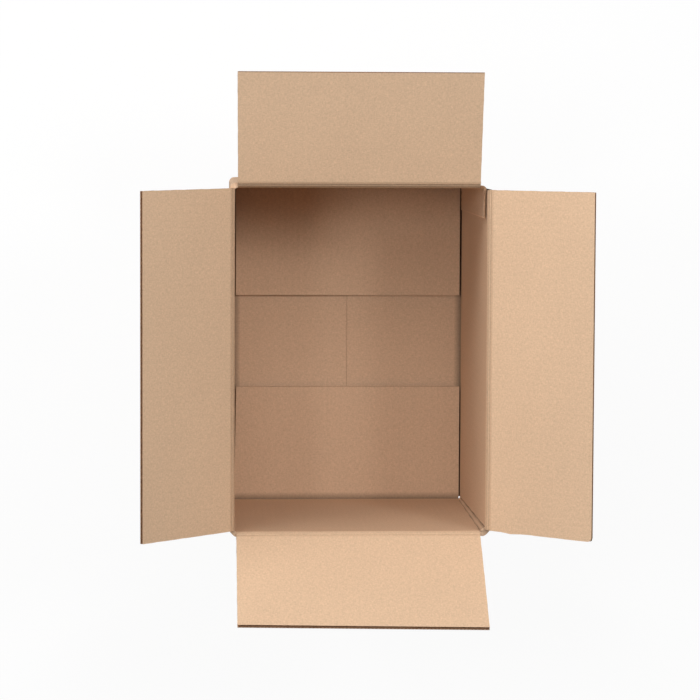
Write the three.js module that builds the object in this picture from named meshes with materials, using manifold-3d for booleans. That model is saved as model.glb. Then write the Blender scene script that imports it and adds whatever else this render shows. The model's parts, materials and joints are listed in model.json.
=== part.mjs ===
// Double wall corrugated box: an open regular slotted carton with four raised top flaps.
// Millimetres, +Z up. The long walls face -X and +X, the short walls face -Y and +Y.
import * as THREE from 'three';
import { mergeVertices } from 'three/addons/utils/BufferGeometryUtils.js';
import Module from 'manifold-3d';

const wasm = await Module();
wasm.setup();

// Driving dimensions of the carton
const innerLength = 312;
const innerWidth = 228;
const innerDepth = 240;
const boardThickness = 4.4;
const layerGap = 0.3;

// Section of the double wall board: liners, one coarse flute layer, the rest is close
const linerThickness = 0.4;
const fluteHeight = 2.35;
const flutePitch = 6.5;
const mediumThickness = 0.34;
const fluteStart = 6;

// Folded corners of the wall and of the bottom
const foldOuterRadius = 5;
const cornerBead = 2;
const bottomBead = 1.5;
const foldSteps = 5;

// Slots between neighbouring flaps
const slotWidth = 8;
const slotOvercut = 0.9;
const slotRelief = 0.3;

// Creases that the top flaps turn on
const creaseHalfWidth = 4.3;
const creaseOuterOffset = 0.6;
const creaseWallEdge = 0.3;
const creaseFlapEdge = 0.2;
const flapLayerGap = 0.4;

// Flap lengths from the crease, and how the bottom closes
const topFlapLength = 116;
const bottomMinorReach = 111;
const seamGap = 1;
const seamOffset = 1.5;

// Manufacturer's joint: the tab that the +Y wall glues behind the +X wall
const tabWidth = 30;
const tabThickness = 2.2;
const tabEndClearance = 2;
const glueInset = 6;
const glueEndInset = 14;

// Raise of each open flap above level, in degrees
const backFlapRaise = 30.5;
const frontFlapRaise = 53;
const leftFlapRaise = 45.5;
const rightFlapRaise = 44;

// Side cuts of the top flaps: distance of each end from the inside of the box,
// at the crease and at the outer edge
const backFlapCut = { creaseLeft: 2, creaseRight: 8, outerLeft: 0.6, outerRight: 8.6 };
const frontFlapCut = { creaseLeft: 1.6, creaseRight: 4.6, outerLeft: 0.6, outerRight: 5 };
const sideFlapCut = { creaseLeft: 1.8, creaseRight: 1.8, outerLeft: 1.8, outerRight: 1.8 };
const crushedCornerRadius = 9;

// Levels and half sizes worked out from the driving dimensions
const halfWidth = innerWidth / 2;
const halfLength = innerLength / 2;
const slotHalf = slotWidth / 2;
const flapInset = slotHalf - boardThickness / 2;
const minorLayerBottom = boardThickness + layerGap;
const floorLevel = minorLayerBottom + boardThickness;
const minorCreaseLevel = floorLevel + innerDepth;
const majorCreaseLevel = minorCreaseLevel + boardThickness + flapLayerGap;
const ringBottom = minorLayerBottom + foldOuterRadius;
const ringTop = minorCreaseLevel - slotOvercut;
const creaseInnerOffset = boardThickness - creaseOuterOffset;
const innerRamp = creaseInnerOffset / creaseHalfWidth;
const outerRamp = creaseOuterOffset / creaseHalfWidth;
const overlap = 1;
const beyond = 10;

const up = new THREE.Vector3(0, 0, 1);
const directions = {
  back: new THREE.Vector3(0, 1, 0),
  front: new THREE.Vector3(0, -1, 0),
  left: new THREE.Vector3(-1, 0, 0),
  right: new THREE.Vector3(1, 0, 0),
};

// A closed three.js geometry as a solid that can be joined and cut
function toSolid(geometry) {
  const bare = geometry.clone();
  bare.deleteAttribute('normal');
  bare.deleteAttribute('uv');
  const merged = mergeVertices(bare, 1e-5);
  return new wasm.Manifold(new wasm.Mesh({
    numProp: 3,
    vertProperties: new Float32Array(merged.attributes.position.array),
    triVerts: new Uint32Array(merged.index.array),
  }));
}

// A joined or cut solid as a three.js geometry
function toGeometry(solid) {
  const mesh = solid.getMesh();
  const geometry = new THREE.BufferGeometry();
  geometry.setAttribute('position', new THREE.BufferAttribute(new Float32Array(mesh.vertProperties), 3));
  geometry.setIndex(new THREE.BufferAttribute(new Uint32Array(mesh.triVerts), 1));
  geometry.computeVertexNormals();
  return geometry;
}

function shapeFrom(points) {
  return new THREE.Shape(points.map(([x, y]) => new THREE.Vector2(x, y)));
}

// A plain extrusion from z = start to z = end
function extrude(shape, start, end) {
  const geometry = new THREE.ExtrudeGeometry(shape, {
    depth: end - start, bevelEnabled: false, curveSegments: foldSteps,
  });
  geometry.translate(0, 0, start);
  return geometry;
}

// Turns a profile drawn in (outward, up) and extruded sideways to face the given way
function faceOutward(geometry, outward, distance) {
  const along = new THREE.Vector3().crossVectors(outward, up);
  const basis = new THREE.Matrix4().makeBasis(outward, up, along);
  basis.setPosition(outward.clone().multiplyScalar(distance));
  return geometry.applyMatrix4(basis);
}

// Points of a quarter ellipse about a centre, from one angle to another
function quarterArc(centreX, centreY, radiusX, radiusY, fromDegrees, toDegrees) {
  const points = [];
  for (let step = 0; step <= foldSteps; step += 1) {
    const angle = THREE.MathUtils.degToRad(fromDegrees + (toDegrees - fromDegrees) * step / foldSteps);
    points.push([centreX + radiusX * Math.cos(angle), centreY + radiusY * Math.sin(angle)]);
  }
  return points;
}

// Plan of the folded wall: one strip from the free edge of the +X wall, round three
// folded corners, to the glue tab that lies inside the +X wall
function wallPlan() {
  const outerX = halfWidth + boardThickness;
  const outerY = halfLength + boardThickness;
  const tabOuterX = halfWidth - layerGap;
  const tabInnerX = tabOuterX - tabThickness;
  const tabFoldX = tabInnerX - cornerBead;
  const tabFoldY = halfLength - cornerBead;
  const tabEndY = halfLength - tabWidth;
  return shapeFrom([
    [halfWidth, outerY],
    [halfWidth, -halfLength + cornerBead],
    [halfWidth - cornerBead, -halfLength],
    [-halfWidth + cornerBead, -halfLength],
    [-halfWidth, -halfLength + cornerBead],
    [-halfWidth, halfLength - cornerBead],
    [-halfWidth + cornerBead, halfLength],
    [tabFoldX, halfLength],
    [tabInnerX, tabFoldY],
    [tabInnerX, tabEndY],
    [tabOuterX, tabEndY],
    ...quarterArc(
      tabFoldX, tabFoldY, cornerBead + tabThickness, cornerBead + boardThickness, 0, 90,
    ),
    ...quarterArc(
      -outerX + foldOuterRadius, outerY - foldOuterRadius, foldOuterRadius, foldOuterRadius, 90, 180,
    ),
    ...quarterArc(
      -outerX + foldOuterRadius, -outerY + foldOuterRadius, foldOuterRadius, foldOuterRadius, 180, 270,
    ),
    ...quarterArc(
      outerX - foldOuterRadius, -outerY + foldOuterRadius, foldOuterRadius, foldOuterRadius, 270, 360,
    ),
    [outerX, outerY],
  ]);
}

// Plain block between two corners
function block(low, high) {
  const size = high.map((value, index) => value - low[index]);
  const geometry = new THREE.BoxGeometry(...size);
  geometry.translate(...low.map((value, index) => value + size[index] / 2));
  return toSolid(geometry);
}

// Top edge of a wall, pressed thin at the crease: profile in (outward, up) from the inner face
function creasedWallTop(outward, innerFace, level, minusEnd, plusEnd) {
  const profile = shapeFrom([
    [0, ringTop - creaseHalfWidth - overlap],
    [boardThickness, ringTop - creaseHalfWidth - overlap],
    [boardThickness, level - creaseHalfWidth],
    [creaseInnerOffset + outerRamp * creaseWallEdge, level - creaseWallEdge],
    [creaseInnerOffset - innerRamp * creaseWallEdge, level - creaseWallEdge],
    [0, level - creaseHalfWidth],
  ]);
  return toSolid(faceOutward(extrude(profile, minusEnd, plusEnd), outward, innerFace));
}

// Lower edge of a wall with the bottom flap that folds in from it
function bottomFlap(outward, innerFace, level, reach, halfSpan) {
  const fold = quarterArc(
    boardThickness - foldOuterRadius, level + foldOuterRadius, foldOuterRadius, foldOuterRadius, -90, 0,
  );
  const profile = shapeFrom([
    ...fold,
    [boardThickness, ringBottom + overlap],
    [0, ringBottom + overlap],
    [0, level + boardThickness + bottomBead],
    [-bottomBead, level + boardThickness],
    [-reach, level + boardThickness],
    [-reach, level],
  ]);
  return toSolid(faceOutward(extrude(profile, -halfSpan, halfSpan), outward, innerFace));
}

// The carton without its top flaps: one folded sheet
function buildBody() {
  let body = toSolid(extrude(wallPlan(), ringBottom, ringTop));

  // The tab is shorter than the wall, and glue holds it to the wall behind it
  const tabInnerX = halfWidth - layerGap - tabThickness;
  const tabEndY = halfLength - tabWidth;
  const tabZone = [tabInnerX - cornerBead - overlap, tabEndY - overlap];
  const tabLimit = [halfWidth - layerGap / 2, halfLength - cornerBead];
  const tabTop = minorCreaseLevel - creaseHalfWidth - tabEndClearance;
  const tabBottom = floorLevel + tabEndClearance;
  body = body.subtract(block([...tabZone, tabTop], [...tabLimit, ringTop + beyond]));
  body = body.subtract(block([...tabZone, ringBottom - beyond], [...tabLimit, tabBottom]));
  body = body.add(block(
    [tabInnerX + tabThickness / 2, tabEndY + glueInset, tabBottom + glueEndInset],
    [halfWidth + boardThickness / 2, halfLength - cornerBead - glueInset, tabTop - glueEndInset],
  ));

  // Bottom: the short flaps fold in over the long ones
  const majorSpan = halfLength - flapInset;
  const minorSpan = halfWidth - flapInset;
  const leftReach = halfWidth + seamOffset - seamGap / 2;
  const rightReach = halfWidth - seamOffset - seamGap / 2;
  body = body.add(bottomFlap(directions.left, halfWidth, 0, leftReach, majorSpan));
  body = body.add(bottomFlap(directions.right, halfWidth, 0, rightReach, majorSpan));
  body = body.add(bottomFlap(directions.back, halfLength, minorLayerBottom, bottomMinorReach, minorSpan));
  body = body.add(bottomFlap(directions.front, halfLength, minorLayerBottom, bottomMinorReach, minorSpan));

  // Top edges: cut each short wall down to its pressed crease, and raise the long walls to theirs
  const cutLow = minorCreaseLevel - creaseHalfWidth;
  for (const [name, side, cut] of [['back', 1, backFlapCut], ['front', -1, frontFlapCut]]) {
    const minusX = -halfWidth + cut.creaseLeft;
    const plusX = halfWidth - cut.creaseRight;
    const nearY = side * (halfLength - overlap);
    const farY = side * (halfLength + boardThickness + overlap);
    body = body.subtract(block(
      [minusX - slotRelief, Math.min(nearY, farY), cutLow],
      [plusX + slotRelief, Math.max(nearY, farY), ringTop + beyond],
    ));
    const ends = side > 0 ? [minusX, plusX] : [-plusX, -minusX];
    body = body.add(creasedWallTop(directions[name], halfLength, minorCreaseLevel, ...ends));
  }
  for (const name of ['left', 'right']) {
    const span = halfLength - sideFlapCut.creaseLeft;
    body = body.add(creasedWallTop(directions[name], halfWidth, majorCreaseLevel, -span, span));
  }
  return body;
}

// Openings of the coarse flute layer, which run from the crease to the outer edge
function fluteTunnels(minusEnd, plusEnd) {
  const innerSide = -creaseInnerOffset + linerThickness;
  const outerSide = innerSide + fluteHeight;
  const margin = flutePitch / 4 + linerThickness * 2;
  const wideHalf = flutePitch * 0.25 + fluteHeight * 0.35 - mediumThickness / 2;
  const narrowHalf = wideHalf - fluteHeight * 0.7;
  const shapes = [];
  const count = Math.floor((plusEnd - minusEnd - 2 * margin) / (flutePitch / 2));
  const first = (minusEnd + plusEnd) / 2 - (count / 2) * (flutePitch / 2);
  for (let index = 0; index <= count; index += 1) {
    const middle = first + index * flutePitch / 2;
    const openInward = index % 2 === 0;
    const base = openInward ? innerSide : outerSide;
    const tip = openInward ? outerSide - mediumThickness : innerSide + mediumThickness;
    const points = [
      [middle - wideHalf, base],
      [middle + wideHalf, base],
      [middle + narrowHalf, tip],
      [middle - narrowHalf, tip],
    ];
    shapes.push(shapeFrom(openInward ? points : points.reverse()));
  }
  const geometry = new THREE.ExtrudeGeometry(shapes, {
    depth: topFlapLength + overlap - fluteStart, bevelEnabled: false,
  });
  geometry.translate(0, 0, fluteStart);
  return geometry.applyMatrix4(new THREE.Matrix4().makeBasis(
    new THREE.Vector3(0, 0, 1), new THREE.Vector3(1, 0, 0), new THREE.Vector3(0, 1, 0),
  ));
}

// Outline of a flap in (along, length), with its side cuts and an optional crushed corner
function flapOutline(minusCrease, plusCrease, minusOuter, plusOuter, crushedRadius) {
  const outline = new THREE.Shape();
  outline.moveTo(minusCrease, -overlap);
  outline.lineTo(plusCrease, -overlap);
  if (crushedRadius > 0) {
    outline.lineTo(plusOuter, topFlapLength - crushedRadius);
    outline.quadraticCurveTo(
      plusOuter, topFlapLength - crushedRadius / 4,
      plusOuter - crushedRadius, topFlapLength,
    );
  } else {
    outline.lineTo(plusOuter, topFlapLength);
  }
  outline.lineTo(minusOuter, topFlapLength);
  outline.closePath();
  return outline;
}

// One top flap, standing up from its crease at the origin: outward is +X, up is +Y
function buildFlap(ends, crushedRadius) {
  const [minusCrease, plusCrease, minusOuter, plusOuter] = ends;
  const farMinus = Math.min(minusCrease, minusOuter) - overlap;
  const farPlus = Math.max(plusCrease, plusOuter) + overlap;
  const profile = shapeFrom([
    [outerRamp * creaseFlapEdge, creaseFlapEdge],
    [creaseOuterOffset, creaseHalfWidth],
    [creaseOuterOffset, topFlapLength],
    [-creaseInnerOffset, topFlapLength],
    [-creaseInnerOffset, creaseHalfWidth],
    [-innerRamp * creaseFlapEdge, creaseFlapEdge],
  ]);
  const board = toSolid(extrude(profile, farMinus, farPlus));

  const outline = flapOutline(minusCrease, plusCrease, minusOuter, plusOuter, crushedRadius);
  const cutter = extrude(outline, -overlap * 2, boardThickness + overlap * 2);
  cutter.applyMatrix4(new THREE.Matrix4().makeBasis(
    new THREE.Vector3(0, 0, 1), new THREE.Vector3(0, 1, 0), new THREE.Vector3(-1, 0, 0),
  ));

  const innerMinus = Math.max(minusCrease, minusOuter);
  const innerPlus = Math.min(plusCrease, plusOuter);
  return board.intersect(toSolid(cutter)).subtract(toSolid(fluteTunnels(innerMinus, innerPlus)));
}

// Kraft liner, a little lighter on the flaps that catch the light
function kraft(color) {
  return new THREE.MeshStandardMaterial({ color, roughness: 0.88, metalness: 0 });
}

// Ends of a flap along its crease, in the flap's own direction
function flapEnds(halfSpan, cut, reversed) {
  const low = [-halfSpan + cut.creaseLeft, -halfSpan + cut.outerLeft];
  const high = [halfSpan - cut.creaseRight, halfSpan - cut.outerRight];
  if (reversed) {
    return [-high[0], -low[0], -high[1], -low[1]];
  }
  return [low[0], high[0], low[1], high[1]];
}

const flaps = [
  {
    name: 'back_flap', side: 'back', innerFace: halfLength, level: minorCreaseLevel,
    raise: backFlapRaise, ends: flapEnds(halfWidth, backFlapCut, false), crushed: 0, color: 0xcfae8f,
  },
  {
    name: 'front_flap', side: 'front', innerFace: halfLength, level: minorCreaseLevel,
    raise: frontFlapRaise, ends: flapEnds(halfWidth, frontFlapCut, true), crushed: 0, color: 0xdfc1a1,
  },
  {
    name: 'left_flap', side: 'left', innerFace: halfWidth, level: majorCreaseLevel,
    raise: leftFlapRaise, ends: flapEnds(halfLength, sideFlapCut, false), crushed: 0, color: 0xc6a184,
  },
  {
    name: 'right_flap', side: 'right', innerFace: halfWidth, level: majorCreaseLevel,
    raise: rightFlapRaise, ends: flapEnds(halfLength, sideFlapCut, true),
    crushed: crushedCornerRadius, color: 0xd7b798,
  },
];

const carton = new THREE.Group();

const bodyMesh = new THREE.Mesh(toGeometry(buildBody()), kraft(0xb28e72));
bodyMesh.name = 'carton_body';
carton.add(bodyMesh);

for (const flap of flaps) {
  const outward = directions[flap.side];
  const along = new THREE.Vector3().crossVectors(outward, up);
  const hinge = new THREE.Group();
  hinge.quaternion.setFromRotationMatrix(new THREE.Matrix4().makeBasis(outward, up, along));
  hinge.position.copy(outward).multiplyScalar(flap.innerFace + creaseInnerOffset);
  hinge.position.z = flap.level;
  const mesh = new THREE.Mesh(toGeometry(buildFlap(flap.ends, flap.crushed)), kraft(flap.color));
  mesh.name = flap.name;
  mesh.rotation.z = THREE.MathUtils.degToRad(flap.raise - 90);
  hinge.add(mesh);
  carton.add(hinge);
}

// The origin is under the middle of the open box, on the surface that it stands on
carton.updateMatrixWorld(true);
const middle = new THREE.Box3().setFromObject(carton, true).getCenter(new THREE.Vector3());
carton.position.set(-middle.x, -middle.y, 0);

const group = new THREE.Group();
group.add(carton);

export default group;
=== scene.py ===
"""Open double wall corrugated carton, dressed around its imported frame.

Lengths are in metres. Image right is +X and image up is +Y. The board's own
coordinates are w across the flutes, s along them, and t through the thickness
from the inner face to the outer face.
"""

import json
import logging
import math
from dataclasses import dataclass, field
from enum import Enum
from typing import Callable, Sequence

import bmesh
import bpy
from mathutils import Euler, Matrix, Vector


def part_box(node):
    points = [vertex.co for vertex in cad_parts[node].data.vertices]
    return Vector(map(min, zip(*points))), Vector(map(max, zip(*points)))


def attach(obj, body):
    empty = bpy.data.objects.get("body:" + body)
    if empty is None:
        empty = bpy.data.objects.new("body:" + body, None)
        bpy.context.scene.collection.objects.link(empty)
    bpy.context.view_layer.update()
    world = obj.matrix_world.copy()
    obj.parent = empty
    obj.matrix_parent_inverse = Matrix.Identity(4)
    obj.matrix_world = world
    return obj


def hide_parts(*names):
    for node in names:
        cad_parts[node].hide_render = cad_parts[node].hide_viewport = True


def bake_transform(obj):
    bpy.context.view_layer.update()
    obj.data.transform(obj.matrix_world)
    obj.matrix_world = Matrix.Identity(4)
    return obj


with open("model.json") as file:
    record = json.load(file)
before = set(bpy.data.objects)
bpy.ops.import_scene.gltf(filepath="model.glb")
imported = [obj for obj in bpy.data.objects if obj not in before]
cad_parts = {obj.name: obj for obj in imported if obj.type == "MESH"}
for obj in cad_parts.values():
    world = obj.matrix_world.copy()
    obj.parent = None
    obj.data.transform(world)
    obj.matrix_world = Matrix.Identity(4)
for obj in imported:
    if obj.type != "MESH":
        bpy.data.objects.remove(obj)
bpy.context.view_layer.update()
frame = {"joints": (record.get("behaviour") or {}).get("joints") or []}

LOG = logging.getLogger("carton")
MM = 0.001
UP = Vector((0.0, 0.0, 1.0))

Point = Callable[[float, float], Vector]


class Side(Enum):
    """The four sides of the carton, each with the way that it faces."""

    BACK = (0.0, 1.0, 0.0)
    FRONT = (0.0, -1.0, 0.0)
    LEFT = (-1.0, 0.0, 0.0)
    RIGHT = (1.0, 0.0, 0.0)

    @property
    def outward(self) -> Vector:
        """The way that this side faces."""
        return Vector(self.value)

    @property
    def along(self) -> Vector:
        """The way along this side's crease."""
        return self.outward.cross(UP)

    @property
    def label(self) -> str:
        """The side's name as the pieces use it."""
        return self.name.lower()


@dataclass(frozen=True)
class Flutes:
    """One fluted paper between two liners, in metres."""

    near: float
    height: float
    pitch: float
    paper: float
    steps: int

    def depth(self, w: float, way: float) -> float:
        """Depth of one side of the paper below the board's inner face.

        Args:
            w: Place across the flutes.
            way: -1 for the paper's inner side, 1 for its outer side.

        Returns:
            The depth.
        """
        half_paper = self.paper / 2.0
        middle, swing = self.near + self.height / 2.0, self.height / 2.0 - half_paper
        turn = 2.0 * math.pi * w / self.pitch
        slope = swing * 2.0 * math.pi / self.pitch * math.cos(turn)
        return middle + swing * math.sin(turn) + way * half_paper * math.hypot(1.0, slope)


@dataclass(frozen=True)
class Board:
    """Section of the double wall board, in metres."""

    thickness: float = 4.4 * MM
    liner: float = 0.4 * MM
    middle_liner: float = 0.25 * MM
    medium: float = 0.26 * MM
    coarse_height: float = 2.35 * MM
    coarse_pitch: float = 6.5 * MM
    fine_pitch: float = 3.25 * MM
    coarse_steps: int = 12
    fine_steps: int = 8

    @property
    def middle_level(self) -> float:
        """Depth of the middle liner's inner face below the inner face."""
        return self.liner + self.coarse_height

    @property
    def fine_level(self) -> float:
        """Depth of the fine flutes' inner side."""
        return self.middle_level + self.middle_liner

    @property
    def fine_height(self) -> float:
        """Height of the fine flute layer."""
        return self.thickness - self.liner - self.fine_level

    @property
    def flutes(self) -> tuple[Flutes, ...]:
        """The coarse and the fine fluted papers."""
        return (
            Flutes(self.liner, self.coarse_height, self.coarse_pitch, self.medium, self.coarse_steps),
            Flutes(self.fine_level, self.fine_height, self.fine_pitch, self.medium, self.fine_steps),
        )

    @property
    def liners(self) -> tuple[tuple[float, float, int], ...]:
        """Inner depth, outer depth and material slot of each liner."""
        return (
            (0.0, self.liner, 0),
            (self.middle_level, self.fine_level, 1),
            (self.thickness - self.liner, self.thickness, 0),
        )


@dataclass(frozen=True)
class Finish:
    """One kraft paper finish, as a procedural material."""

    name: str
    color: tuple[float, float, float]
    stripe: float = 0.004
    speckle: float = 0.17
    fleck: float = 0.16
    bump: float = 0.22
    roughness: float = 0.9
    relief: float = 0.25 * MM
    # How much the score marks and painted shade darken the colour
    press_dark: float = 0.42
    fibre_scale: tuple[float, float, float] = (2600.0, 520.0, 1.0)
    thread_scale: tuple[float, float, float] = (300.0, 1500.0, 1.0)
    weave_scale: tuple[float, float, float] = (1300.0, 260.0, 1.0)

    def build(self) -> bpy.types.Material:
        """Makes the material's nodes.

        Returns:
            The finished material.
        """
        material = bpy.data.materials.new(self.name)
        material.use_nodes = True
        graph = Graph(material)
        place = graph.add("ShaderNodeTexCoord")
        sheet = graph.add("ShaderNodeUVMap", uv_map="board")
        across = graph.add("ShaderNodeSeparateXYZ")
        graph.link(sheet.outputs["UV"], across.inputs[0])

        blotch = graph.noise(place.outputs["Object"], scale=9.0, detail=3.0)
        cloud = graph.noise(place.outputs["Object"], scale=60.0, detail=4.0)
        grain = graph.noise(place.outputs["Object"], scale=620.0, detail=3.0)
        fibre = graph.noise(graph.stretch(sheet.outputs["UV"], self.fibre_scale), scale=1.0, detail=2.0)
        thread = graph.noise(graph.stretch(sheet.outputs["UV"], self.thread_scale), scale=1.0, detail=2.0)
        weave = graph.noise(graph.stretch(sheet.outputs["UV"], self.weave_scale), scale=1.0, detail=2.0)
        turns = graph.math("MULTIPLY", across.outputs["X"], 2.0 * math.pi / Board().coarse_pitch)
        wave = graph.math("SINE", turns)

        # The mesh's layer of score marks and painted shade darkens the colour; below 0 it paints a
        # highlight
        press = graph.add("ShaderNodeAttribute", attribute_name="press")
        tone = graph.spread(blotch, amount=0.10, middle=1.0)
        for factor in (
            graph.spread(cloud, amount=0.05, middle=1.0),
            graph.spread(grain, amount=self.speckle * 2.0, middle=1.0),
            graph.spread(thread, amount=self.speckle * 1.6, middle=1.0),
            graph.spread(weave, amount=self.speckle * 1.6, middle=1.0),
            graph.step(fibre, low=0.60, high=0.72, before=1.0, after=1.0 - self.fleck),
            graph.scale_shift(wave, scale=self.stripe, shift=1.0),
            graph.scale_shift(press.outputs["Fac"], scale=-self.press_dark, shift=1.0),
        ):
            tone = graph.math("MULTIPLY", tone, factor)
        color = graph.tint(self.color, tone)

        height = graph.math("ADD", graph.math("MULTIPLY", grain, 0.5), graph.math("MULTIPLY", fibre, 0.5))
        height = graph.math("ADD", height, graph.math("MULTIPLY", wave, 0.35))
        relief = graph.add("ShaderNodeBump")
        relief.inputs["Strength"].default_value = self.bump
        relief.inputs["Distance"].default_value = self.relief
        graph.link(height, relief.inputs["Height"])

        shader = graph.shader
        graph.link(color, shader.inputs["Base Color"])
        graph.link(relief.outputs["Normal"], shader.inputs["Normal"])
        graph.link(graph.spread(cloud, amount=0.12, middle=self.roughness), shader.inputs["Roughness"])
        shader.inputs["Specular IOR Level"].default_value = 0.18
        return material


class Graph:
    """Short calls for a material's nodes."""

    def __init__(self, material: bpy.types.Material) -> None:
        """Keeps the material's node tree and its main shader."""
        self.tree = material.node_tree
        self.shader = self.tree.nodes["Principled BSDF"]

    def add(self, kind: str, **settings: object) -> bpy.types.Node:
        """Adds a node and sets its properties.

        Args:
            kind: The node's type.
            settings: Properties of the node by name.

        Returns:
            The new node.
        """
        node = self.tree.nodes.new(kind)
        for key, value in settings.items():
            setattr(node, key, value)
        return node

    def link(self, source: bpy.types.NodeSocket, target: bpy.types.NodeSocket) -> None:
        """Joins two sockets."""
        self.tree.links.new(source, target)

    def noise(self, vector: bpy.types.NodeSocket, scale: float, detail: float) -> bpy.types.NodeSocket:
        """Noise about 0.5 on a vector.

        Args:
            vector: Where the noise is read.
            scale: Lumps to the unit.
            detail: Octaves.

        Returns:
            The noise's value socket.
        """
        node = self.add("ShaderNodeTexNoise")
        node.inputs["Scale"].default_value = scale
        node.inputs["Detail"].default_value = detail
        self.link(vector, node.inputs["Vector"])
        return node.outputs[0]

    def stretch(self, vector: bpy.types.NodeSocket, scale: Sequence[float]) -> bpy.types.NodeSocket:
        """A vector scaled by a different amount each way."""
        node = self.add("ShaderNodeMapping")
        node.inputs["Scale"].default_value = scale
        self.link(vector, node.inputs["Vector"])
        return node.outputs[0]

    def math(self, operation: str, first: object, second: object = None) -> bpy.types.NodeSocket:
        """One operation on two values or sockets.

        Args:
            operation: The Math node's operation.
            first: A socket or a number.
            second: A socket or a number, where the operation takes two.

        Returns:
            The result's socket.
        """
        node = self.add("ShaderNodeMath", operation=operation)
        for index, value in enumerate((first, second)):
            if isinstance(value, bpy.types.NodeSocket):
                self.link(value, node.inputs[index])
            elif value is not None:
                node.inputs[index].default_value = value
        return node.outputs[0]

    def scale_shift(self, value: bpy.types.NodeSocket, scale: float, shift: float) -> bpy.types.NodeSocket:
        """value x scale + shift."""
        return self.math("ADD", self.math("MULTIPLY", value, scale), shift)

    def spread(self, value: bpy.types.NodeSocket, amount: float, middle: float) -> bpy.types.NodeSocket:
        """Noise about 0.5 turned into a spread of amount about middle."""
        return self.scale_shift(value, amount, middle - amount / 2.0)

    def step(
        self, value: bpy.types.NodeSocket, low: float, high: float, before: float, after: float
    ) -> bpy.types.NodeSocket:
        """A soft step between two results.

        Args:
            value: What is tested.
            low: Where the step starts.
            high: Where it ends.
            before: Result below low.
            after: Result above high.

        Returns:
            The result's socket.
        """
        node = self.add("ShaderNodeMapRange", interpolation_type="SMOOTHSTEP")
        for key, number in (("From Min", low), ("From Max", high), ("To Min", before), ("To Max", after)):
            node.inputs[key].default_value = number
        self.link(value, node.inputs["Value"])
        return node.outputs[0]

    def tint(self, color: Sequence[float], tone: bpy.types.NodeSocket) -> bpy.types.NodeSocket:
        """A colour multiplied by a tone."""
        node = self.add("ShaderNodeVectorMath", operation="SCALE")
        node.inputs[0].default_value = color
        self.link(tone, node.inputs["Scale"])
        return node.outputs[0]


def linear(red: float, green: float, blue: float) -> tuple[float, float, float]:
    """A display colour out of 255 as linear light."""
    values = []
    for value in (red / 255.0, green / 255.0, blue / 255.0):
        values.append(value / 12.92 if value <= 0.04045 else ((value + 0.055) / 1.055) ** 2.4)
    return (values[0], values[1], values[2])


def steps(low: float, high: float, count: int) -> list[float]:
    """Evenly spaced numbers from low to high, both included."""
    return [low + (high - low) * index / count for index in range(count + 1)]


def smooth(value: float) -> float:
    """The smooth step of a number between 0 and 1."""
    value = min(max(value, 0.0), 1.0)
    return value * value * (3.0 - 2.0 * value)


class SheetMesh:
    """Closed sheets of board, gathered into one mesh."""

    def __init__(self) -> None:
        """Starts an empty mesh with its board coordinates and its layer of score marks and painted shade.
        """
        self.mesh = bmesh.new()
        self.uv = self.mesh.loops.layers.uv.new("board")
        self.press = self.mesh.verts.layers.float.new("press")
        self.first = self.mesh.verts.layers.float.new("first")
        self.second = self.mesh.verts.layers.float.new("second")

    def sheet(
        self,
        across: Sequence[float],
        along: Sequence[float],
        inner: Point,
        outer: Point,
        slot: int = 0,
        press: Callable[[float, float], float] | None = None,
    ) -> None:
        """Adds one closed sheet between two surfaces.

        Args:
            across: The first coordinate's values, one for each column.
            along: The second coordinate's values, one for each row.
            inner: Place of a point of the inner surface.
            outer: Place of a point of the outer surface.
            slot: The material slot of the sheet.
            press: How dark the inner side is at a point, from scores and painted shade, 1 for a full score
                and below 0 for a paler painted highlight.
        """
        columns, rows = len(across) - 1, len(along) - 1
        made = bmesh.ops.create_grid(self.mesh, x_segments=columns, y_segments=rows, size=0.5)
        low = made["verts"]
        faces = {face for vert in low for face in vert.link_faces}
        for vert in low:
            vert[self.first] = across[round((vert.co.x + 0.5) * columns)]
            vert[self.second] = along[round((vert.co.y + 0.5) * rows)]
        result = bmesh.ops.extrude_face_region(self.mesh, geom=list(faces), use_keep_orig=True)
        high = [item for item in result["geom"] if isinstance(item, bmesh.types.BMVert)]
        for verts, place in ((low, inner), (high, outer)):
            for vert in verts:
                vert.co = place(vert[self.first], vert[self.second])
        if press is not None:
            for vert in low:
                vert[self.press] = press(vert[self.first], vert[self.second])
        whole = {face for vert in (*low, *high) for face in vert.link_faces}
        for face in whole:
            face.material_index = slot
            for loop in face.loops:
                loop[self.uv].uv = (loop.vert[self.first], loop.vert[self.second])
        bmesh.ops.recalc_face_normals(self.mesh, faces=list(whole))

    def mark(self, way: Vector, slot: int, above: float = 0.8) -> None:
        """Gives the faces that look one way another material slot.

        Args:
            way: The way that they look.
            slot: Their material slot.
            above: How nearly they look that way, 1 for exactly.
        """
        self.mesh.normal_update()
        for face in self.mesh.faces:
            if face.normal.dot(way) > above:
                face.material_index = slot

    def settle(self, move: Callable[[Vector], Vector]) -> None:
        """Moves every point."""
        for vert in self.mesh.verts:
            vert.co = move(vert.co)

    def finish(
        self, name: str, materials: Sequence[bpy.types.Material], sharp: float = 35.0
    ) -> bpy.types.Object:
        """Turns the mesh into an object in the scene.

        Args:
            name: The piece's name.
            materials: Its material slots in order.
            sharp: Edges that turn further than this many degrees stay sharp.

        Returns:
            The new object.
        """
        data = bpy.data.meshes.new(name)
        self.mesh.to_mesh(data)
        self.mesh.free()
        piece = bpy.data.objects.new(name, data)
        bpy.context.scene.collection.objects.link(piece)
        for material in materials:
            data.materials.append(material)
        data.shade_smooth()
        data.set_sharp_from_angle(angle=math.radians(sharp))
        LOG.info("%s: %d faces", name, len(data.polygons))
        return piece


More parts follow.
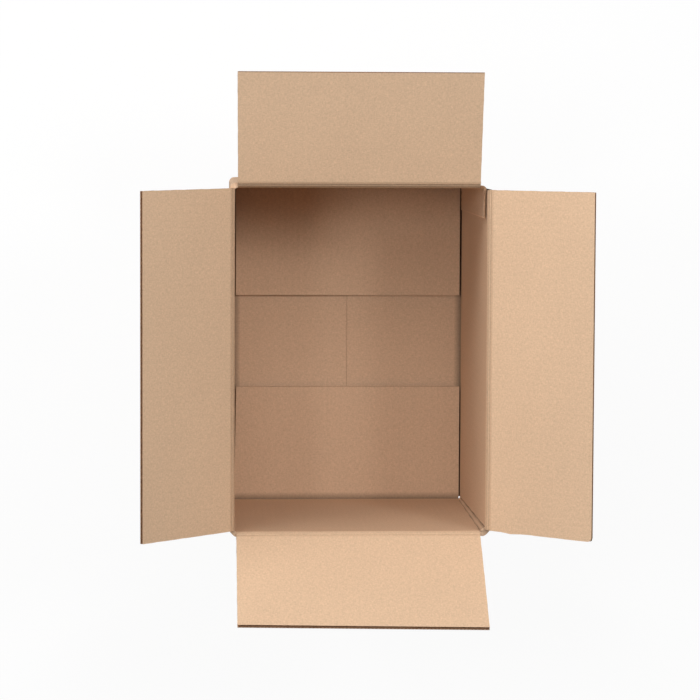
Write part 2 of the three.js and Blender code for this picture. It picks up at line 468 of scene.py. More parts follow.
@dataclass
class Plan:
    """The carton's main places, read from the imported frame."""

    board: Board = Board()
    floor: float = 9.1 * MM
    minor_level: float = 4.7 * MM
    fold_radius: float = 5.0 * MM
    crease_half: float = 4.3 * MM
    outer_offset: float = 0.6 * MM
    slot_overcut: float = 0.9 * MM
    lean: float = 4.2 * MM
    middle: Vector = field(init=False)
    half_width: float = field(init=False)
    half_length: float = field(init=False)
    creases: dict[str, Vector] = field(init=False)

    def __post_init__(self) -> None:
        """Reads the folded sheet's box and the joints' places."""
        low, high = (Vector(corner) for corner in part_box("carton_body"))
        self.middle = Vector(((low.x + high.x) / 2.0, (low.y + high.y) / 2.0, 0.0))
        self.half_width = (high.x - low.x) / 2.0 - self.board.thickness
        self.half_length = (high.y - low.y) / 2.0 - self.board.thickness
        self.creases = {joint["name"]: Vector(joint["pos_m"]) for joint in frame["joints"]}

    @property
    def inner_offset(self) -> float:
        """Distance from a crease's axis to the inner face."""
        return self.board.thickness - self.outer_offset

    def settled(self, point: Vector) -> Vector:
        """Where a point of the folded sheet stands, with the -X wall leaning in at its foot.

        Args:
            point: The point in the straight carton.

        Returns:
            The point in the carton as it stands.
        """
        height = max(0.0, 1.0 - point.z / self.creases["left_flap_crease"].z)
        share = min(max((self.middle.x - point.x) / self.half_width, 0.0), 1.0)
        return point + Vector((self.lean * height * share, 0.0, 0.0))

    def half(self, side: Side) -> float:
        """Distance from the middle to a side's inner face."""
        return self.half_length if side in (Side.BACK, Side.FRONT) else self.half_width

    def crease(self, side: Side) -> Vector:
        """Middle of a top flap's crease axis."""
        return self.creases[f"{side.label}_flap_crease"]

    def at(self, x: float, y: float, z: float) -> Vector:
        """A place given from the carton's middle."""
        return self.middle + Vector((x, y, z))


@dataclass
class TopFlap:
    """One raised top flap with its crease."""

    plan: Plan
    side: Side
    raise_deg: float
    crease_ends: tuple[float, float]
    outer_ends: tuple[float, float]
    length: float = 116.0 * MM
    crushed: float = 0.0
    # Darkness of the score lines, for pressed fibre and partly painted shade, and of painted shade on the
    # band between them
    score: float = 0.45
    shade: float = 0.0
    score_half: float = 1.3 * MM
    score_soft: float = 0.7 * MM
    score_depth: float = 0.6 * MM
    score_width: float = 0.45 * MM
    score_spread: float = 0.6 * MM
    shade_spread: float = 0.8 * MM
    inner_dish: float = 0.7 * MM
    outer_dish: float = 0.35 * MM
    pinch: float = 0.7
    pinch_reach: float = 4.0 * MM
    crushed_share: float = 0.8
    uneven: float = 0.12 * MM
    bulge: float = 0.0
    bulge_place: float = 27.0 * MM
    bulge_half: float = 8.0 * MM
    bow: float = 0.0
    slant: float = 0.0
    flute_inset: float = 0.3 * MM
    flute_setback: float = 0.15 * MM
    rows: int = 20
    edge_steps: int = 4
    corner_steps: int = 8
    liner_columns: int = 64
    middle_columns: int = 8
    crease_columns: int = 80
    crease_rows: int = 34

    @property
    def start(self) -> float:
        """Distance from the crease at which the full board starts."""
        return self.plan.crease_half

    @property
    def length_way(self) -> Vector:
        """The way from the crease to the outer edge."""
        angle = math.radians(self.raise_deg)
        return self.side.outward * math.cos(angle) + UP * math.sin(angle)

    def place(self, w: float, s: float, t: float) -> Vector:
        """A point of the raised flap.

        Args:
            w: Place along the crease.
            s: Distance from the crease.
            t: Depth below the inner face.

        Returns:
            The point in the row frame.
        """
        share = (s - self.start) / (self.length - self.start)
        lift = self.bow * math.sin(math.pi * min(max(share, 0.0), 1.0))
        span = self.crease_ends[1] - self.crease_ends[0]
        angle = math.radians(self.raise_deg)
        depth_way = self.side.outward * math.sin(angle) - UP * math.cos(angle)
        near_edge = smooth(1.0 - (self.length - s) / self.pinch_reach)
        depth = t * (1.0 - (1.0 - self.pinch) * near_edge) - self.plan.inner_offset - lift
        reach = s * (1.0 + self.slant * w / span)
        along = self.side.along * w
        return self.plan.crease(self.side) + along + self.length_way * reach + depth_way * depth

    def end(self, index: int, s: float) -> float:
        """The side cut's place at a distance from the crease.

        Args:
            index: 0 for the low end, 1 for the high end.
            s: Distance from the crease.

        Returns:
            Place along the crease.
        """
        share = s / self.length
        value = self.crease_ends[index] + (self.outer_ends[index] - self.crease_ends[index]) * share
        # The cut's small unevenness, in radians to the metre
        quick, slow = 310.0, 97.0
        waver = math.sin(quick * s + 2.0 * index) * math.sin(slow * s + self.raise_deg)
        value += (self.uneven if index == 0 else -self.uneven) * (1.0 + waver)
        if index == 1:
            value += self.bulge * math.exp(-((s - self.bulge_place) / self.bulge_half) ** 2)
        if index == 1 and self.crushed > 0.0:
            beyond = max(0.0, s - (self.length - self.crushed)) / self.crushed
            value -= self.crushed * (1.0 - math.sqrt(max(0.0, 1.0 - beyond * beyond))) * self.crushed_share
        return value

    def liner(self, sheets: SheetMesh, top: float, bottom: float, columns: int, slot: int) -> None:
        """Adds one flat liner between two depths.

        Args:
            sheets: The mesh that takes it.
            top: Depth of its inner face.
            bottom: Depth of its outer face.
            columns: Steps along the crease.
            slot: Material slot.
        """
        def surface(depth: float) -> Point:
            """Places a share of the width and a distance at one depth."""
            def put(share: float, s: float) -> Vector:
                """The point at a share of the width."""
                low, high = self.end(0, s), self.end(1, s)
                return self.place(low + (high - low) * share, s, depth)
            return put

        along = steps(self.start, self.length, self.rows)
        if self.crushed > 0.0:
            corner = steps(self.length - self.crushed, self.length, self.corner_steps)
            along = [s for s in along if s < corner[0] - 0.5 * MM] + corner
        else:
            along = along[:-1] + steps(self.length - self.pinch_reach, self.length, self.edge_steps)
        before = len(sheets.mesh.faces)
        sheets.sheet(steps(0.0, 1.0, columns), along, surface(top), surface(bottom), slot)
        sheets.mesh.faces.ensure_lookup_table()
        width = self.crease_ends[1] - self.crease_ends[0]
        for face in sheets.mesh.faces[before:]:
            for loop in face.loops:
                share = loop[sheets.uv].uv.x
                loop[sheets.uv].uv.x = self.crease_ends[0] + width * share

    def medium(self, sheets: SheetMesh, flutes: Flutes) -> None:
        """Adds one fluted paper.

        Args:
            sheets: The mesh that takes it.
            flutes: The paper's flutes.
        """
        low = max(self.crease_ends[0], self.outer_ends[0]) + self.flute_inset
        high = min(self.crease_ends[1], self.outer_ends[1]) - self.flute_inset
        high -= self.crushed * self.crushed_share
        columns = int((high - low) / flutes.pitch * flutes.steps)
        edge = steps(self.length - self.pinch_reach, self.length - self.flute_setback, self.edge_steps)
        sheets.sheet(
            steps(low, high, columns), [self.start, self.length / 2.0, *edge],
            lambda w, s: self.place(w, s, flutes.depth(w, -1.0)),
            lambda w, s: self.place(w, s, flutes.depth(w, 1.0)),
            1,
        )

    def build(self, face: bpy.types.Material, medium: bpy.types.Material) -> bpy.types.Object:
        """Builds the flap's board.

        Args:
            face: Finish of the liners.
            medium: Finish of the fluted papers.

        Returns:
            The flap, riding on its own body.
        """
        board = self.plan.board
        sheets = SheetMesh()
        for top, bottom, slot in board.liners:
            columns = self.liner_columns if slot == 0 else self.middle_columns
            self.liner(sheets, top, bottom, columns, slot)
        for flutes in board.flutes:
            self.medium(sheets, flutes)
        sheets.mark(self.length_way, 1)
        piece = sheets.finish(f"{self.side.label}_flap_board", (face, medium))
        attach(piece, f"{self.side.label}_flap")
        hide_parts(f"{self.side.label}_flap")
        return piece

    def crease_point(self, w: float, v: float, offset: float) -> Vector:
        """A point of the pressed board that turns over the crease.

        Args:
            w: Place along the crease.
            v: Distance along the board, negative on the wall's side.
            offset: Distance outwards from the crease's axis.

        Returns:
            The point in the row frame.
        """
        score, soft = self.score_half, self.score_soft
        turn = math.radians(90.0 - self.raise_deg)
        first = smooth((v + score + soft) / (2.0 * soft))
        second = smooth((v - score + soft) / (2.0 * soft))
        fold = turn * (first + second) / 2.0
        out = self.side.outward
        flap_way = UP * math.cos(turn) + out * math.sin(turn)
        if v <= -score:
            line = UP * v
        elif v >= score:
            line = flap_way * v
        else:
            share = (v + score) / (2.0 * score)
            line = UP * (-score) + (flap_way * score + UP * score) * share
        out_way = out * math.cos(fold) - UP * math.sin(fold)
        return self.plan.crease(self.side) + self.side.along * w + line + out_way * offset

    def press_depth(self, v: float) -> float:
        """How far the inner face is pressed in at a distance from the crease."""
        half = self.plan.crease_half
        wide = max(0.0, 1.0 - (v / half) ** 2)
        dent = math.exp(-((abs(v) - self.score_half) / self.score_width) ** 2)
        return self.inner_dish * wide + self.score_depth * dent

    def build_crease(self, face: bpy.types.Material, cut: bpy.types.Material) -> bpy.types.Object:
        """Builds the pressed strip that joins the wall and the flap.

        Args:
            face: Finish of the liners.
            cut: Finish of the cut ends.

        Returns:
            The strip, bending between the two bodies.
        """
        half = self.plan.crease_half
        inner, outer = self.plan.inner_offset, self.plan.outer_offset
        low, high = self.crease_ends

        def inner_face(w: float, v: float) -> Vector:
            """The inner face of the strip."""
            return self.crease_point(w, v, -inner + self.press_depth(v))

        def outer_face(w: float, v: float) -> Vector:
            """The outer face of the strip."""
            return self.crease_point(w, v, outer - self.outer_dish * max(0.0, 1.0 - (v / half) ** 2))

        def pressed(w: float, v: float) -> float:
            """How dark the score lines are, partly painted shade, with painted shade on the band between
            them.
            """
            line = self.score * math.exp(-((abs(v) - self.score_half) / self.score_spread) ** 2)
            inside = (self.score_half + self.shade_spread - abs(v)) / self.shade_spread
            return line + self.shade * smooth(inside)

        sheets = SheetMesh()
        columns, rows = steps(low, high, self.crease_columns), steps(-half, half, self.crease_rows)
        sheets.sheet(columns, rows, inner_face, outer_face, 0, pressed)
        sheets.mark(self.side.along, 1)
        sheets.mark(-self.side.along, 1)
        piece = sheets.finish(f"{self.side.label}_flap_crease", (face, cut), sharp=60.0)
        start = self.crease_point(0.0, -half, 0.0)
        end = self.crease_point(0.0, half, 0.0)
        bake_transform(piece)
        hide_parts(f"{self.side.label}_flap")
        return piece


@dataclass(frozen=True)
class Station:
    """One upright line of the folded wall."""

    distance: float
    inner: Vector
    outer: Vector
    top: float


@dataclass
class Wall:
    """The folded wall: four panels round four corners, and the glue tab."""

    plan: Plan
    flaps: dict[Side, TopFlap]
    bead: float = 1.4 * MM
    free_edge: float = 2.4 * MM
    flatten: float = 0.8
    corner_steps: int = 8
    corner_zone: float = 8.0 * MM
    fine: float = 0.02 * MM
    raised_width: float = 4.3 * MM
    raised_foot: float = 11.0 * MM
    raised_front: float = 0.8 * MM
    raised_back: float = -2.1 * MM
    raised_overlap: float = 0.3 * MM
    tab_width: float = 27.0 * MM
    tab_thickness: float = 2.2 * MM
    tab_foot: float = 0.6 * MM
    tab_gap: float = 0.3 * MM
    tab_inset: float = 2.0 * MM
    tab_ripple: float = 0.12 * MM
    torn_back: float = 0.9 * MM
    torn_start: float = 6.0 * MM
    torn_band: float = 1.4 * MM

    def stations(self) -> list[Station]:
        """Stations round the wall from the +X wall's free edge to the tab's fold.

        Returns:
            The stations in order.
        """
        plan = self.plan
        thick = plan.board.thickness
        wide, long = plan.half_width, plan.half_length
        radius, bead = plan.fold_radius, self.bead
        corner_top = plan.crease(Side.BACK).z - plan.slot_overcut
        result: list[Station] = []

        def add(inner: tuple[float, float], outer: tuple[float, float], top: float) -> None:
            """Adds one station."""
            point_in = plan.at(inner[0], inner[1], 0.0)
            point_out = plan.at(outer[0], outer[1], 0.0)
            distance = result[-1].distance + (point_out - result[-1].outer).length if result else 0.0
            result.append(Station(distance, point_in, point_out, top))

        def panel(side: Side, first: float, last: float, columns: int) -> None:
            """Adds the straight stations of one panel, between two places along it."""
            out, along = side.outward, side.along
            half = plan.half(side)
            flap_top = plan.crease(side).z - plan.crease_half
            low, high = self.flaps[side].crease_ends
            marks = [first, low, low + self.fine]
            marks += steps(low, high, columns)[1:-1]
            marks += [high - self.fine, high, last]
            for index, place in enumerate(marks):
                inside = 1 < index < len(marks) - 2
                spot = out * half + along * place
                deep = thick
                if side is Side.BACK and index > len(marks) - 3:
                    deep = self.tab_thickness
                spot_out = out * (half + deep) + along * place
                add((spot.x, spot.y), (spot_out.x, spot_out.y), flap_top if inside else corner_top)

        def corner(sign_x: float, sign_y: float, start_deg: float) -> None:
            """Adds a folded corner's stations, turning clockwise seen from above."""
            centre = (sign_x * (wide + thick - radius), sign_y * (long + thick - radius))
            first = (sign_x * wide, sign_y * (long - bead))
            last = (sign_x * (wide - bead), sign_y * long)
            if sign_x * sign_y > 0:
                first, last = last, first

            def rim(share: float) -> Vector:
                """A point of the fold's outer round."""
                angle = math.radians(start_deg - 90.0 * share)
                return Vector((centre[0] + radius * math.cos(angle), centre[1] + radius * math.sin(angle)))

            for step in range(1, self.corner_steps):
                share = step / self.corner_steps
                inner = (first[0] + (last[0] - first[0]) * share, first[1] + (last[1] - first[1]) * share)
                outer = rim(share)
                if sign_y < 0.0:
                    outer = outer.lerp(rim(0.0).lerp(rim(1.0), share), self.flatten)
                add(inner, (outer.x, outer.y), corner_top)

        # The along way of +X is -Y, of -Y is -X, of -X is +Y and of +Y is +X
        panel(Side.RIGHT, -(long - self.free_edge), long - bead, columns=24)
        corner(1.0, -1.0, 0.0)
        panel(Side.FRONT, -(wide - bead), wide - bead, columns=20)
        corner(-1.0, -1.0, 270.0)
        panel(Side.LEFT, -(long - bead), long - bead, columns=24)
        corner(-1.0, 1.0, 180.0)
        tab_inner = wide - self.tab_gap - self.tab_thickness
        panel(Side.BACK, -(wide - bead), tab_inner - bead, columns=20)
        return result

    def build(self, face: bpy.types.Material, cut: bpy.types.Material) -> bpy.types.Object:
        """Builds the folded wall.

        Args:
            face: Finish of the liners.
            cut: Finish of the cut edges.

        Returns:
            The wall, riding on the carton.
        """
        plan = self.plan
        stations = self.stations()
        bottom = plan.minor_level + plan.fold_radius

        def surface(outer: bool) -> Point:
            """One face of the wall."""
            def put(number: float, share: float) -> Vector:
                """The point of a station at a share of the height."""
                station = stations[round(number)]
                point = station.outer if outer else station.inner
                return Vector((point.x, point.y, bottom + (station.top - bottom) * share))
            return put

        sheets = SheetMesh()
        numbers = [float(number) for number in range(len(stations))]
        sheets.sheet(numbers, steps(0.0, 1.0, 16), surface(False), surface(True))
        for wall_face in sheets.mesh.faces:
            for loop in wall_face.loops:
                station = stations[round(loop[sheets.uv].uv.x)]
                loop[sheets.uv].uv = (station.distance, loop.vert.co.z)
        sheets.mark(UP, 1)
        corner_y = plan.half_length - self.corner_zone
        for wall_face in sheets.mesh.faces:
            centre = wall_face.calc_center_median() - plan.middle
            folded = centre.y < -corner_y or (centre.y > corner_y and centre.x < 0.0)
            if wall_face.material_index == 1 and folded:
                wall_face.material_index = 0
        sheets.settle(plan.settled)
        piece = sheets.finish("wall", (face, cut))
        dress_body(piece)
        return piece

    def build_bead(self, face: bpy.types.Material) -> bpy.types.Object:
        """Builds the pressed bead that stands up along the +X, -Y corner fold.

        Args:
            face: Finish of the liner.

        Returns:
            The bead, riding on the carton.
        """
        plan = self.plan
        full, low = self.raised_width, plan.floor + self.raised_foot
        high = plan.crease(Side.FRONT).z - plan.slot_overcut
        inwards = Vector((-1.0, 1.0, 0.0)).normalized()
        # The fold's small unevennesses, in radians to the metre
        slow, quick, edge, dark = 61.0, 173.0, 140.0, 90.0

        def surface(rise: float) -> Point:
            """The bead at one height over the chord of the corner."""
            def put(share: float, z: float) -> Vector:
                """The point at a share of the way round."""
                ridge = rise * math.sin(math.pi * share) ** 0.6
                ridge *= 1.0 + 0.12 * math.sin(z * slow) + 0.08 * math.sin(z * quick)
                reach = full * (0.5 + 0.5 * z / high + 0.04 * math.sin(z * edge))
                first = Vector((plan.half_width + self.raised_overlap, -(plan.half_length - reach), 0.0))
                last = Vector((plan.half_width - reach, -(plan.half_length + self.raised_overlap), 0.0))
                spot = first.lerp(last, share) + inwards * ridge
                return plan.at(spot.x, spot.y, z)
            return put

        def pressed(share: float, z: float) -> float:
            """How dark the bead is: painted shade and score along its two folds, a little darker all over,
            and paler near its foot.
            """
            ends = 1.3 * math.exp(-(share / 0.3) ** 2) + 1.1 * math.exp(-((1.0 - share) / 0.24) ** 2)
            foot = 1.1 * math.exp(-((z - low) / (5.0 * MM)) ** 2)
            return 0.2 - foot + ends * (1.0 + 0.25 * math.sin(z * dark))

        sheets = SheetMesh()
        sheets.sheet(
            steps(0.0, 1.0, 14), steps(low, high, 40),
            surface(self.raised_front), surface(self.raised_back), 0, pressed,
        )
        for bead_face in sheets.mesh.faces:
            for loop in bead_face.loops:
                loop[sheets.uv].uv.x *= 1.4 * full
        piece = sheets.finish("corner_bead", (face,))
        dress_body(piece)
        return piece

    def build_tab(self, face: bpy.types.Material, torn_top: bpy.types.Material) -> bpy.types.Object:
        """Builds the crushed glue tab and its fold from the +Y wall.

        Args:
            face: Finish of the liners.
            torn_top: Finish of its torn top.

        Returns:
            The tab, riding on the carton.
        """
        plan = self.plan
        outer_x = plan.half_width - self.tab_gap
        inner_x = outer_x - self.tab_thickness
        fold = Vector((inner_x - self.bead, plan.half_length - self.bead, 0.0))
        low = plan.floor + self.tab_inset
        high = plan.crease(Side.BACK).z - plan.crease_half - self.tab_inset
        turn = 0.5 * math.pi * (self.bead + self.tab_thickness)
        end = turn + self.tab_width - self.bead

        def surface(outer: bool) -> Point:
            """One face of the tab, from the +Y wall round the fold to its end."""
            def put(distance: float, z: float) -> Vector:
                """The point at a distance from the start of the fold."""
                if distance <= turn:
                    angle = math.pi / 2.0 * (1.0 - distance / turn)
                    reach = self.bead + (self.tab_thickness if outer else 0.0)
                    return plan.at(fold.x + reach * math.cos(angle), fold.y + reach * math.sin(angle), z)
                y = fold.y - (distance - turn)
                past = smooth((distance - turn) / self.torn_start)
                rise = smooth((z - low) / (high - low))
                if outer:
                    return plan.at(outer_x - self.torn_back * past * rise, y, z)
                wave = self.tab_ripple * math.sin(2.0 * math.pi * distance / plan.board.coarse_pitch)
                thin = (self.tab_thickness - self.tab_foot) * (1.0 - rise) * past
                return plan.at(inner_x + wave + thin, y, z)
            return put

        def torn(distance: float, z: float) -> float:
            """Painted highlight along the tab's end, stronger towards the top, as a value below 0."""
            return -0.8 * smooth(1.0 - (end - distance) / self.torn_band) * (0.2 + 0.8 * smooth(z / high))

        sheets = SheetMesh()
        across = steps(0.0, turn, 8)[:-1] + steps(turn, end, 40)
        sheets.sheet(across, steps(low, high, 12), surface(False), surface(True), 0, torn)
        sheets.mark(UP, 1)
        piece = sheets.finish("glue_tab", (face, torn_top))
        dress_body(piece)
        return piece


@dataclass
class BottomFlap:
    """One closed bottom flap with the fold that joins it to its wall."""

    plan: Plan
    side: Side
    level: float
    reach: float
    ends: tuple[float, float]
    bead: float = 0.7 * MM
    covered: float = 0.0
    taper: float = 0.0
    open_tip: float = 9.0 * MM
    flute_setback: float = 0.1 * MM
    # Darkness of the fold's score, partly painted shade, and painted shade on a long flap where it runs
    # under a short one
    score: float = 1.3
    score_spread: float = 0.9 * MM
    shade: float = 0.6
    shade_side: float = 3.0 * MM
    shade_reach: float = 12.0 * MM
    fold_steps: int = 10
    columns: int = 40

    def place(self, w: float, inward: float, z: float) -> Vector:
        """A point at a distance inwards from the wall's inner face."""
        drawn = self.taper * max(0.0, w / self.ends[1]) * max(0.0, inward / self.reach)
        spot = self.side.outward * (self.plan.half(self.side) - inward) + self.side.along * (w - drawn)
        return self.plan.middle + spot + UP * z

    def build(self, face: bpy.types.Material, medium: bpy.types.Material) -> bpy.types.Object:
        """Builds the flap.

        Args:
            face: Finish of the liners.
            medium: Finish of the fluted papers.

        Returns:
            The flap, riding on the carton.
        """
        board, radius = self.plan.board, self.plan.fold_radius
        thick = board.thickness
        top = self.level + thick
        wall_end = self.plan.minor_level + radius
        centre_in, centre_z = radius - thick, self.level + radius
        turn = math.pi / 2.0 * radius
        rise = wall_end - centre_z
        flat = self.reach - centre_in - self.open_tip

        def outer(w: float, d: float) -> Vector:
            """The outer face, from the wall down round the fold to the open tip."""
            if d <= rise:
                return self.place(w, -thick, wall_end - d)
            if d <= rise + turn:
                angle = (d - rise) / radius
                inward = centre_in - radius * math.cos(angle)
                return self.place(w, inward, centre_z - radius * math.sin(angle))
            return self.place(w, centre_in + (d - rise - turn), self.level)

        def inner(w: float, d: float) -> Vector:
            """The inner face, with its pressed bead in the fold."""
            if d <= rise:
                return self.place(w, 0.0, max(wall_end - d, top + self.bead))
            if d <= rise + turn:
                share = (d - rise) / turn
                start_z = top + self.bead
                return self.place(w, self.bead * share, start_z + (top - start_z) * share)
            share = (d - rise - turn) / flat
            return self.place(w, self.bead + (self.reach - self.open_tip - self.bead) * share, top)

        def pressed(w: float, d: float) -> float:
            """Score and painted shade along the fold, and painted shade on the stretch under a short flap.
            """
            past = max(0.0, abs(d - rise - turn / 2.0) - turn / 2.0)
            fold = self.score * math.exp(-(past / self.score_spread) ** 2)
            hidden = smooth((abs(w) - self.covered) / self.shade_side) if self.covered else 0.0
            return fold + self.shade * hidden * smooth(1.5 - d / self.shade_reach)

        sheets = SheetMesh()
        down = [0.0] if rise > 0.1 * MM else []
        along = down + steps(rise, rise + turn, self.fold_steps)
        along += steps(rise + turn, rise + turn + flat, 16)[1:]
        sheets.sheet(steps(*self.ends, self.columns), along, inner, outer, 0, pressed)
        self.tip(sheets)
        sheets.mark(self.side.along, 1)
        sheets.mark(-self.side.along, 1)
        sheets.settle(self.plan.settled)
        name = "floor" if self.level > 0.0 else "under"
        piece = sheets.finish(f"{self.side.label}_{name}_flap", (face, medium))
        dress_body(piece)
        return piece

    def tip(self, sheets: SheetMesh) -> None:
        """Adds the last stretch, where the cut edge shows the flutes."""
        board = self.plan.board
        first, last = self.reach - self.open_tip, self.reach
        top = self.level + board.thickness
        for near, far, slot in board.liners:
            sheets.sheet(
                steps(*self.ends, self.columns), steps(first, last, 2),
                lambda w, d: self.place(w, d, top - near),
                lambda w, d: self.place(w, d, top - far),
                slot,
            )
        for flutes in board.flutes:
            columns = int((self.ends[1] - self.ends[0]) / flutes.pitch * flutes.steps)
            sheets.sheet(
                steps(*self.ends, columns), steps(first, last - self.flute_setback, 1),
                lambda w, d: self.place(w, d, top - flutes.depth(w, -1.0)),
                lambda w, d: self.place(w, d, top - flutes.depth(w, 1.0)),
                1,
            )


def dress_body(piece: bpy.types.Object) -> None:
    """Makes a piece part of the folded sheet."""
    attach(piece, "carton")
    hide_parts("carton_body")


@dataclass(frozen=True)
class Lamp:
    """A square soft lamp aimed at the carton's mouth."""

    name: str
    place: tuple[float, float, float]
    size: float
    watts: float

    def build(self) -> bpy.types.Object:
        """Makes the lamp.

        Returns:
            The lamp's object.
        """
        light = bpy.data.lights.new(self.name, "AREA")
        light.shape = "SQUARE"
        light.size = self.size
        light.energy = self.watts
        lamp = bpy.data.objects.new(self.name, light)
        lamp.location = self.place
        aim = Vector((0.0, 0.0, 0.15)) - Vector(self.place)
        lamp.rotation_euler = aim.to_track_quat("-Z", "Y").to_euler()
        bpy.context.scene.collection.objects.link(lamp)
        return lamp


LAMPS = (
    Lamp("corner", (-0.96, 1.08, 1.0), 0.72, 9.2),
    Lamp("rear", (-0.06, 0.78, 1.54), 0.6, 5.6),
    Lamp("low_rear", (0.0, 1.9, 0.85), 0.9, 2.6),
    Lamp("low_left", (-1.9, 0.0, 1.1), 0.6, 4.0),
    Lamp("top_right", (0.5, 0.3, 2.5), 0.5, 1.4),
    Lamp("right_high", (1.0, 0.6, 2.3), 0.5, 20.2),
    Lamp("left_high", (-1.0, 0.3, 2.3), 0.5, 15.4),
)


@dataclass
class Studio:
    """Floor, lamps and camera."""

    camera_place: tuple[float, float, float] = (-0.17845, 0.20974, 3.03659)
    camera_turn_deg: tuple[float, float, float] = (-4.42, -3.42, 0.26)
    focal_px: float = 3097.6
    image_px: float = 700.0
    sensor_mm: float = 36.0
    sky: float = 0.1
    floor_half: float = 8.0
    floor_drop: float = 0.5 * MM
    floor_grey: float = 0.86
    floor_glow: float = 0.93

    def build_floor(self) -> bpy.types.Object:
        """Makes the pale floor, white to the camera but with the carton's shadow."""
        sheet = bmesh.new()
        bmesh.ops.create_grid(sheet, x_segments=1, y_segments=1, size=self.floor_half)
        data = bpy.data.meshes.new("floor")
        sheet.to_mesh(data)
        sheet.free()
        floor = bpy.data.objects.new("floor", data)
        floor.location.z = -self.floor_drop
        bpy.context.scene.collection.objects.link(floor)
        material = bpy.data.materials.new("pale_floor")
        material.use_nodes = True
        graph = Graph(material)
        graph.shader.inputs["Base Color"].default_value = (*[self.floor_grey] * 3, 1.0)
        graph.shader.inputs["Roughness"].default_value = 0.9
        glow = graph.add("ShaderNodeEmission")
        glow.inputs["Strength"].default_value = 1.0
        path = graph.add("ShaderNodeLightPath")
        blend = graph.add("ShaderNodeMixShader")
        seen = graph.math("MULTIPLY", path.outputs["Is Camera Ray"], self.floor_glow)
        graph.link(seen, blend.inputs[0])
        graph.link(graph.shader.outputs[0], blend.inputs[1])
        graph.link(glow.outputs[0], blend.inputs[2])
        output = graph.tree.nodes["Material Output"]
        graph.link(blend.outputs[0], output.inputs["Surface"])
        data.materials.append(material)
        return floor

    def build_lamps(self) -> None:
        """Makes the soft lamps and the plain sky."""
        for lamp in LAMPS:
            lamp.build()
        world = bpy.data.worlds.new("sky")
        world.use_nodes = True
        nodes, links = world.node_tree.nodes, world.node_tree.links
        back = nodes["Background"]
        back.inputs["Color"].default_value = (1.0, 1.0, 1.0, 1.0)
        path = nodes.new("ShaderNodeLightPath")
        level = nodes.new("ShaderNodeMapRange")
        level.inputs["To Min"].default_value = self.sky
        level.inputs["To Max"].default_value = 1.0
        links.new(path.outputs["Is Camera Ray"], level.inputs["Value"])
        links.new(level.outputs[0], back.inputs["Strength"])
        bpy.context.scene.world = world

    def build_camera(self) -> None:
        """Makes the long lens that looks down into the mouth."""
        lens = bpy.data.cameras.new("camera")
        lens.sensor_fit = "HORIZONTAL"
        lens.sensor_width = self.sensor_mm
        lens.lens = self.sensor_mm * self.focal_px / self.image_px
        lens.clip_end = 50.0
        camera = bpy.data.objects.new("camera", lens)
        turn = Euler([math.radians(value) for value in self.camera_turn_deg], "XYZ")
        camera.matrix_world = Matrix.Translation(self.camera_place) @ turn.to_matrix().to_4x4()
        bpy.context.scene.collection.objects.link(camera)
        bpy.context.scene.camera = camera

    def build(self) -> None:
        """Makes the whole studio."""
        self.build_floor()
        self.build_lamps()
        self.build_camera()
        bpy.context.scene.view_settings.view_transform = "Standard"


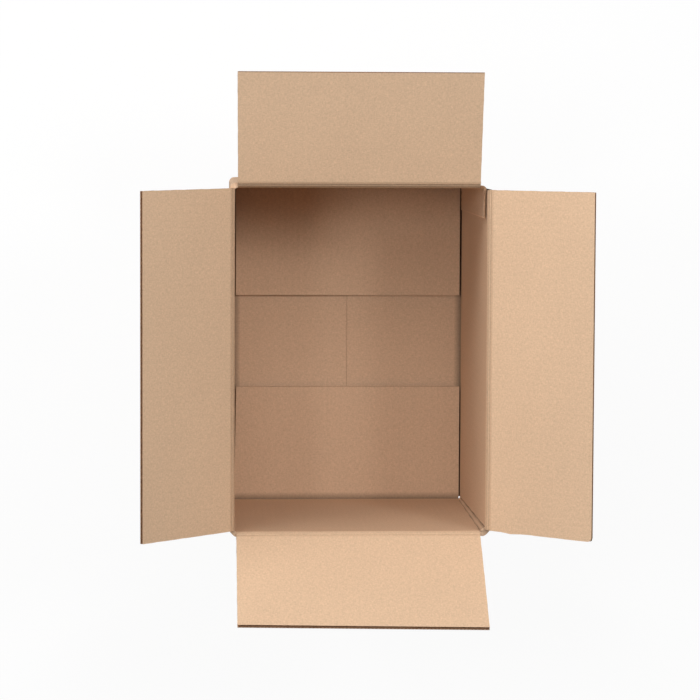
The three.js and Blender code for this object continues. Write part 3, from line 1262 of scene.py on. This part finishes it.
def top_flaps(plan: Plan) -> dict[Side, TopFlap]:
    """The four top flaps, each with its own raise and cut.

    Args:
        plan: The carton's places.

    Returns:
        The flaps by side.
    """
    wide, long = plan.half_width, plan.half_length
    return {
        Side.BACK: TopFlap(
            plan, Side.BACK, 30.5,
            (-wide + 2.6 * MM, wide - 6.5 * MM), (-wide + 0.6 * MM, wide - 9.6 * MM),
            length=117.0 * MM, score=0.5, shade=0.5, pinch=0.35, bow=-0.15 * MM,
        ),
        Side.FRONT: TopFlap(
            plan, Side.FRONT, 53.0,
            (-wide + 4.6 * MM, wide - 1.6 * MM), (-wide + 5.0 * MM, wide - 0.6 * MM),
            score=0.25, pinch=0.85, bow=0.6 * MM, slant=-0.04,
        ),
        Side.LEFT: TopFlap(
            plan, Side.LEFT, 45.5,
            (-long + 1.8 * MM, long - 0.4 * MM), (-long + 1.8 * MM, long - 1.0 * MM),
            pinch=0.65, bow=0.15 * MM,
        ),
        Side.RIGHT: TopFlap(
            plan, Side.RIGHT, 44.0,
            (-long + 1.3 * MM, long - 1.8 * MM), (-long + 1.0 * MM, long - 1.8 * MM),
            length=117.0 * MM, pinch=0.4, crushed=5.0 * MM, bulge=1.0 * MM, bow=0.15 * MM,
        ),
    }


def bottom_flaps(plan: Plan) -> tuple[BottomFlap, ...]:
    """The four closed bottom flaps, the long ones under the short ones.

    Args:
        plan: The carton's places.

    Returns:
        The flaps in the order that they are built.
    """
    wide, long = plan.half_width, plan.half_length
    inset, half_seam, seam_shift, reach = 1.8 * MM, 0.12 * MM, 1.5 * MM, 111.0 * MM
    ends = (-long + inset, long - inset)
    return (
        BottomFlap(plan, Side.LEFT, 0.0, wide + seam_shift - half_seam, ends, covered=long - reach),
        BottomFlap(plan, Side.RIGHT, 0.0, wide - seam_shift - half_seam, ends, covered=long - reach),
        BottomFlap(plan, Side.BACK, plan.minor_level, reach, (-wide + 2.6 * MM, wide - 2.0 * MM)),
        BottomFlap(
            plan, Side.FRONT, plan.minor_level, reach, (-wide + 1.4 * MM, wide - 1.1 * MM),
            taper=1.9 * MM,
        ),
    )


def main() -> None:
    """Builds the carton and the studio."""
    logging.basicConfig(level=logging.INFO, format="%(name)s %(message)s")
    plan = Plan()
    liner = Finish("kraft_liner", linear(212.0, 180.5, 150.0)).build()
    cut = Finish("cut_edge", linear(142.0, 106.0, 78.0), stripe=0.0, speckle=0.5, fleck=0.5).build()
    # A darker copy of the liner for the walls and the bottom flaps: painted shade for the inside of the
    # carton
    inside = Finish("kraft_inside", linear(205.0, 172.5, 143.5)).build()
    medium = Finish("flute_medium", linear(150.0, 112.0, 84.0), stripe=0.0, fleck=0.1).build()
    torn_top = Finish("torn_top", linear(166.0, 130.0, 102.0), speckle=0.4, fleck=0.4).build()

    flaps = top_flaps(plan)
    for flap in flaps.values():
        flap.build(liner, medium)
        flap.build_crease(liner, cut)

    wall = Wall(plan, flaps)
    wall.build(inside, cut)
    wall.build_bead(inside)
    wall.build_tab(inside, torn_top)

    for bottom in bottom_flaps(plan):
        bottom.build(inside, medium)

    Studio().build()


if __name__ == "__main__":
    main()
